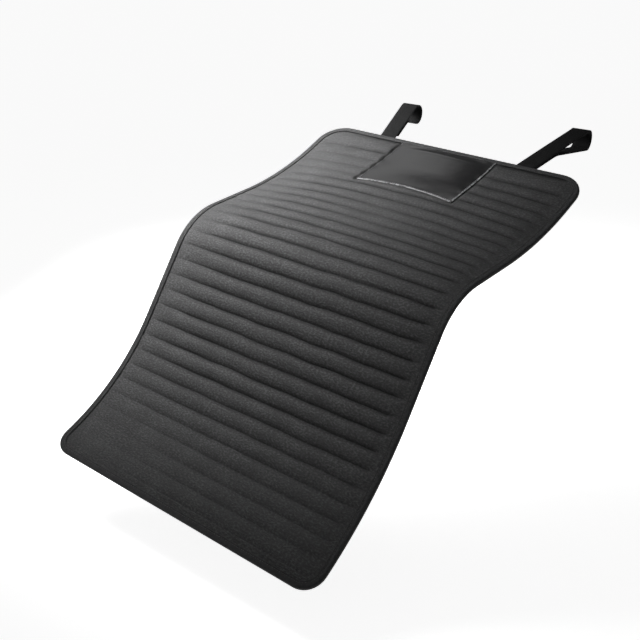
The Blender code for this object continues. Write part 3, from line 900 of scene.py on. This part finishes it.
# Edge tape: woven tape folded round the edge of both layers, from the rounded fold to its two selvedges.
# It lies a little full between the fold and its seam, and the seam draws it down.
TAPE_HALF = (TAPE_THICKNESS + LAYER_GAP - tape_underside) / 2
TAPE_MIDDLE = tape_underside + TAPE_HALF
TAPE_FOLD = 0.0016
TAPE_FOLD_STEPS = 5
TAPE_CROWN = [(0.0036, 0.00035), (0.0058, 0.00030), (0.0074, -0.00005), (0.0082, -0.00022)]
TAPE_LIP = [(0.0090, -0.00005), (0.0102, 0.00015), (TAPE_WIDTH, 0.00010)]
TAPE_SEAM = 0.0082
TAPE_STEP = 0.0095

TAPE_COLOUR = (0.011, 0.011, 0.0115)
TAPE_LIGHT = (0.029, 0.029, 0.030)
TAPE_RIB = 0.0011

tape = cut_sheet("edge_tape", 0.0)
bpy.ops.object.mode_set(mode="EDIT")
cut_through(
    steps_between(TOP_CORNER_RADIUS, PAD_LENGTH - BOTTOM_CORNER_RADIUS, TAPE_STEP),
    steps_between(TOP_CORNER_RADIUS - PAD_WIDTH / 2, PAD_WIDTH / 2 - TOP_CORNER_RADIUS, TAPE_STEP),
)
pick_all()
bpy.ops.mesh.dissolve_faces(use_verts=False)
section = []
for step in range(1, TAPE_FOLD_STEPS + 1):
    turned = math.pi / 2 * step / TAPE_FOLD_STEPS
    section.append((TAPE_FOLD * (1 - math.cos(turned)), TAPE_HALF * math.sin(turned)))
section += [(place, TAPE_HALF + rise) for place, rise in TAPE_CROWN + TAPE_LIP]
inset_so_far, height_so_far = 0.0, 0.0
for place, height in section:
    bpy.ops.mesh.inset(thickness=place - inset_so_far, depth=height - height_so_far)
    inset_so_far, height_so_far = place, height
bpy.ops.mesh.delete(type="FACE")
bpy.ops.object.mode_set(mode="OBJECT")
both_sides = tape.modifiers.new("both sides of the fold", "MIRROR")
both_sides.use_axis = (False, False, True)
both_sides.merge_threshold = 0.00005
tape_body = tape.modifiers.new("tape thickness", "SOLIDIFY")
tape_body.thickness = TAPE_THICKNESS
tape_body.offset = -1
apply_modifiers(tape)
bpy.ops.object.mode_set(mode="EDIT")
pick_all()
bpy.ops.transform.translate(value=(0, 0, TAPE_MIDDLE))
bpy.ops.object.mode_set(mode="OBJECT")
hang(tape)

tape_weave = Finish("woven_tape", roughness=0.68)
tape_weave.shader.inputs["Specular IOR Level"].default_value = 0.40
rubbed = tape_weave.grain(size=0.005, detail=4.0)
tape_weave.paint(tape_weave.colour(rubbed, [(0.32, TAPE_COLOUR), (0.72, TAPE_LIGHT)]))
tape_weave.raised(tape_weave.weave(TAPE_RIB), depth=0.00018)
tape_weave.raised(tape_weave.grain(size=0.009, detail=2.0), depth=0.0004)
wear(tape, tape_weave)
sewn_on(tape, "binding_tape", "edge_binding")

# Topstitching: one row of lockstitch holds the tape through both layers, all the way round, and shows on
# both sides of the mat. Another, of paler thread, holds the patch down its sides and along its foot.
STITCH_LENGTH = 0.0032
STITCH_PITCH = 0.0043
STITCH_RADIUS = 0.00036
STITCH_LIGHT = (0.080, 0.080, 0.083)
PATCH_THREAD_LIGHT = (0.30, 0.30, 0.305)
PATCH_ROW_START = 0.002


def outline_points(inset):
    """Places round the mat at this distance inside its finished edge, from its upper right corner."""
    quarter = math.pi / 2
    corners = [
        (1, TOP_CORNER_RADIUS, TOP_CORNER_RADIUS, -quarter),
        (1, BOTTOM_CORNER_RADIUS, PAD_LENGTH - BOTTOM_CORNER_RADIUS, 0.0),
        (-1, BOTTOM_CORNER_RADIUS, PAD_LENGTH - BOTTOM_CORNER_RADIUS, quarter),
        (-1, TOP_CORNER_RADIUS, TOP_CORNER_RADIUS, 2 * quarter),
    ]
    points = []
    for side, radius, middle, first in corners:
        for step in range(CORNER_STEPS + 1):
            turned = first + quarter * step / CORNER_STEPS
            u = side * (PAD_WIDTH / 2 - radius) + (radius - inset) * math.cos(turned)
            points.append((u, -middle - (radius - inset) * math.sin(turned)))
    return points


def sew(name, points, closed, heights):
    """Stitches in a row along these flat points, at each of these heights, then hung with the mat."""
    line = bpy.data.curves.new(name + "_line", "CURVE")
    line.dimensions = "3D"
    line.twist_mode = "Z_UP"
    spline = line.splines.new("POLY")
    spline.points.add(len(points) - 1)
    for point, (x, y) in zip(spline.points, points):
        point.co = (x, y, 0.0, 1.0)
    spline.use_cyclic_u = closed
    seam = bpy.data.objects.new(name + "_line", line)
    bpy.context.scene.collection.objects.link(seam)
    bpy.ops.object.select_all(action="DESELECT")
    bpy.ops.mesh.primitive_uv_sphere_add(segments=6, ring_count=5, radius=1, calc_uvs=False)
    stitches = bpy.context.object
    stitches.name = name
    bpy.ops.object.mode_set(mode="EDIT")
    bpy.ops.transform.rotate(value=math.pi / 2, orient_axis="Y", center_override=(0, 0, 0))
    bpy.ops.transform.resize(value=(STITCH_LENGTH / 2, STITCH_RADIUS, STITCH_RADIUS))
    bpy.ops.object.mode_set(mode="OBJECT")
    row = stitches.modifiers.new("row of stitches", "ARRAY")
    row.fit_type = "FIT_CURVE"
    row.curve = seam
    row.use_relative_offset = False
    row.use_constant_offset = True
    row.constant_offset_displace = (STITCH_PITCH, 0, 0)
    along = stitches.modifiers.new("along the seam", "CURVE")
    along.object = seam
    apply_modifiers(stitches)
    bpy.ops.object.mode_set(mode="EDIT")
    pick_all()
    bpy.ops.transform.translate(value=(0, 0, heights[0]))
    for height in heights[1:]:
        bpy.ops.mesh.duplicate()
        bpy.ops.transform.translate(value=(0, 0, height - heights[0]))
    bpy.ops.object.mode_set(mode="OBJECT")
    bpy.data.objects.remove(seam)
    hang(stitches)
    return stitches


stitch_thread = Finish("stitch_thread", roughness=0.5)
stitch_shine = stitch_thread.grain(size=0.004, detail=2.0)
stitch_thread.paint(stitch_thread.colour(stitch_shine, [(0.30, THREAD_COLOUR), (0.75, STITCH_LIGHT)]))
seam_top = TAPE_MIDDLE + TAPE_HALF + TAPE_CROWN[-1][1]
tape_stitches = sew(
    "tape_stitches",
    outline_points(TAPE_SEAM),
    True,
    (seam_top + STITCH_RADIUS / 2, 2 * TAPE_MIDDLE - seam_top - STITCH_RADIUS / 2),
)
wear(tape_stitches, stitch_thread)
sewn_on(tape_stitches, "thread")

label_line = LABEL_SEAM - LABEL_RIM / 2
label_row_top = -TAPE_WIDTH - PATCH_ROW_START
label_row_height = LAYER_GAP + LABEL_THICKNESS + SIDE_RIDE / 2 + STITCH_RADIUS / 2
foot = steps_between(-label_half, label_half, LABEL_GRID)
label_points = [(label_line - label_half, label_row_top)]
label_points += [(u, label_line - label_edge(u)) for u in foot if abs(u) < label_half - label_line]
label_points += [(label_half - label_line, label_row_top)]
label_stitches = sew("patch_stitches", label_points, False, (label_row_height,))
pale_thread = Finish("patch_thread", roughness=0.5)
pale_shine = pale_thread.grain(size=0.009, detail=2.0)
pale_thread.paint(pale_thread.colour(pale_shine, [(0.38, STITCH_LIGHT), (0.60, PATCH_THREAD_LIGHT)]))
wear(label_stitches, pale_thread)
sewn_on(label_stitches, "thread")

# Floor and light: the mat hangs over a plain pale floor. One soft lamp close to its left side rakes its
# ribs, and a small faint one beyond its top is there for the vinyl's sheen. The room glows a little, and
# rays from the camera see the floor and the room lighter than they are lit, so that they read as white.
FLOOR_SIZE = 30.0
FLOOR_DROP = 0.060
FLOOR_COLOUR = (0.88, 0.88, 0.88)
FLOOR_LIFT = 0.88
ROOM_GLOW = 0.08
FLOOR_RAYS = ("Is Camera Ray", "Is Glossy Ray", "Is Transmission Ray")
ROOM_RAYS = ("Is Camera Ray", "Is Transmission Ray")
# For each lamp: its place, the place it faces, its size, its spread in degrees and its power.
LAMPS = {
    "soft_lamp": ((-0.75, -0.39, 0.31), (-0.48, -0.287, -0.08), 0.80, 65.5, 8.9),
    "patch_lamp": ((-0.627, 0.355, 0.566), (0.0, -0.15, -0.04), 0.45, 180.0, 0.52),
}


def lighter_to(rays, nodes, links, plain, lighter, output):
    """Shows the lighter shader to these kinds of ray and the plain one to all others."""
    seen = nodes.new("ShaderNodeLightPath")
    share = seen.outputs[rays[0]]
    for ray in rays[1:]:
        either = nodes.new("ShaderNodeMath")
        either.operation = "MAXIMUM"
        links.new(share, either.inputs[0])
        links.new(seen.outputs[ray], either.inputs[1])
        share = either.outputs["Value"]
    choice = nodes.new("ShaderNodeMixShader")
    links.new(share, choice.inputs["Fac"])
    links.new(plain, choice.inputs[1])
    links.new(lighter, choice.inputs[2])
    links.new(choice.outputs["Shader"], nodes[output].inputs["Surface"])


bpy.ops.object.select_all(action="DESELECT")
bpy.ops.mesh.primitive_plane_add(size=FLOOR_SIZE, location=(0, 0, cad_low.z - FLOOR_DROP))
floor = bpy.context.object
floor.name = "studio_floor"
pale = bpy.data.materials.new("pale_floor")
pale.use_nodes = True
nodes, links = pale.node_tree.nodes, pale.node_tree.links
matte = nodes["Principled BSDF"]
matte.inputs["Base Color"].default_value = (*FLOOR_COLOUR, 1.0)
matte.inputs["Roughness"].default_value = 0.9
lift = nodes.new("ShaderNodeEmission")
lift.inputs["Strength"].default_value = FLOOR_LIFT
lifted = nodes.new("ShaderNodeAddShader")
links.new(matte.outputs["BSDF"], lifted.inputs[0])
links.new(lift.outputs["Emission"], lifted.inputs[1])
lighter_to(FLOOR_RAYS, nodes, links, matte.outputs["BSDF"], lifted.outputs["Shader"], "Material Output")
floor.data.materials.append(pale)

room = bpy.data.worlds.new("studio")
room.use_nodes = True
bpy.context.scene.world = room
nodes, links = room.node_tree.nodes, room.node_tree.links
glow = nodes["Background"]
glow.inputs["Color"].default_value = (1, 1, 1, 1)
glow.inputs["Strength"].default_value = ROOM_GLOW
white = nodes.new("ShaderNodeBackground")
white.inputs["Color"].default_value = (1, 1, 1, 1)
white.inputs["Strength"].default_value = 1.0
lighter_to(
    ROOM_RAYS, nodes, links, glow.outputs["Background"], white.outputs["Background"], "World Output"
)

for name, (place, aim, size, spread, power) in LAMPS.items():
    lamp_data = bpy.data.lights.new(name, "AREA")
    lamp_data.shape = "SQUARE"
    lamp_data.size = size
    lamp_data.spread = math.radians(spread)
    lamp_data.energy = power
    lamp = bpy.data.objects.new(name, lamp_data)
    bpy.context.scene.collection.objects.link(lamp)
    lamp.location = place
    lamp.rotation_euler = (Vector(aim) - Vector(place)).to_track_quat("-Z", "Y").to_euler()

# Camera: the photograph's own view, from past the mat's tail and to its right, looking down on it. Its
# place, angles and lens are those that bring the mat's outline over the photograph's.
CAMERA_PLACE = (0.9676, -1.6437, 0.5099)
CAMERA_AZIMUTH = 39.87
CAMERA_ELEVATION = 25.69
CAMERA_LENS = 58.87
SENSOR_WIDTH = 36.0

camera_data = bpy.data.cameras.new("camera")
camera_data.lens = CAMERA_LENS
camera_data.sensor_width = SENSOR_WIDTH
camera = bpy.data.objects.new("camera", camera_data)
bpy.context.scene.collection.objects.link(camera)
camera.location = CAMERA_PLACE
camera.rotation_euler = (math.radians(90 - CAMERA_ELEVATION), 0, math.radians(CAMERA_AZIMUTH))
bpy.context.scene.camera = camera
bpy.context.scene.view_settings.view_transform = "Standard"
